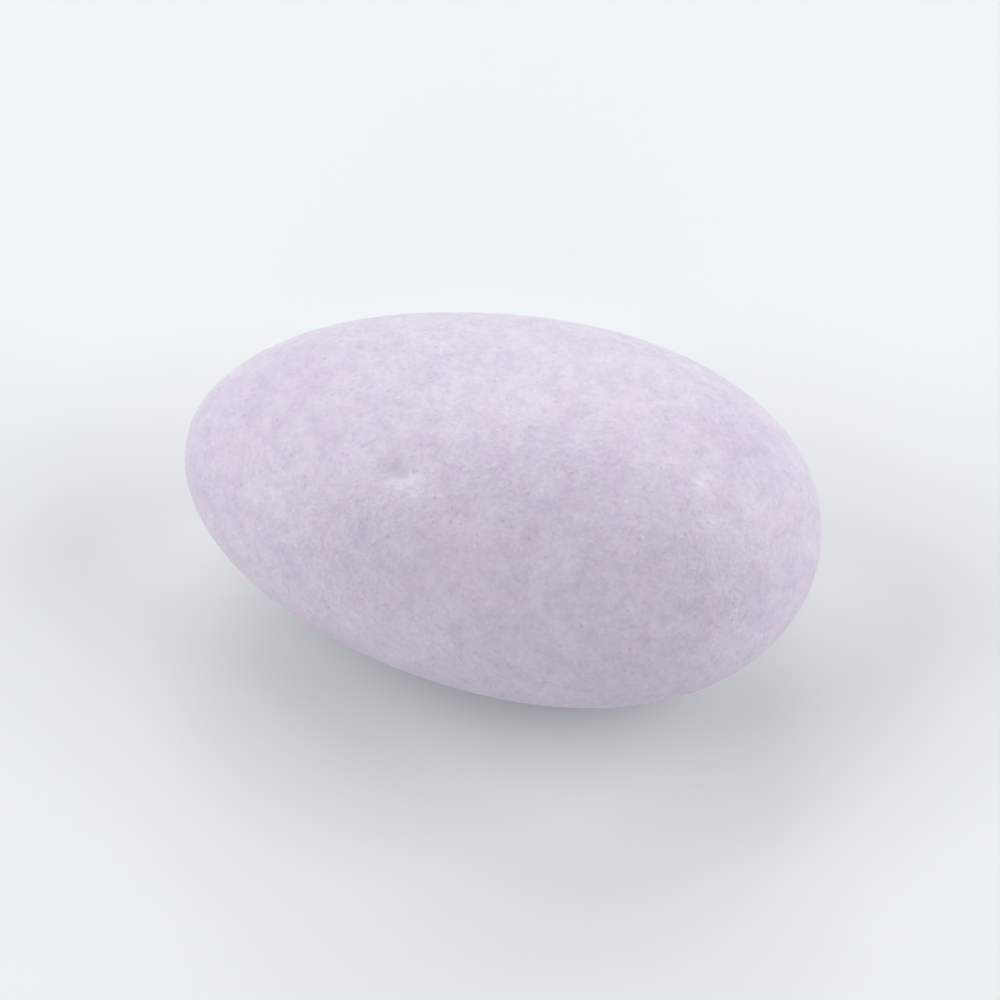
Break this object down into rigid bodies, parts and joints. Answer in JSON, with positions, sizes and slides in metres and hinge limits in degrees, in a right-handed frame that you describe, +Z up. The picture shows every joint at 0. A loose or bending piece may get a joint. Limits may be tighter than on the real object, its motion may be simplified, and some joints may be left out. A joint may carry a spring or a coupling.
{
  "type": "sugared almond",
  "caption": "Sugared almond: a whole almond in a smooth, matt lilac sugar shell, egg-ended and slightly flattened, lying on its flatter side.",
  "frame": {"origin": "middle of the sweet's outline seen from above, on the surface that it lies on", "axes": "+X along the sweet towards its fuller end, +Y across it, +Z up, out of its flatter side"},
  "size_m": [0.028, 0.0174, 0.0142],
  "materials": {
    "sugar_shell": "matte"
  },
  "bodies": {
    "root": {"sugared_almond": "sugar_shell"}
  },
  "joints": []
}
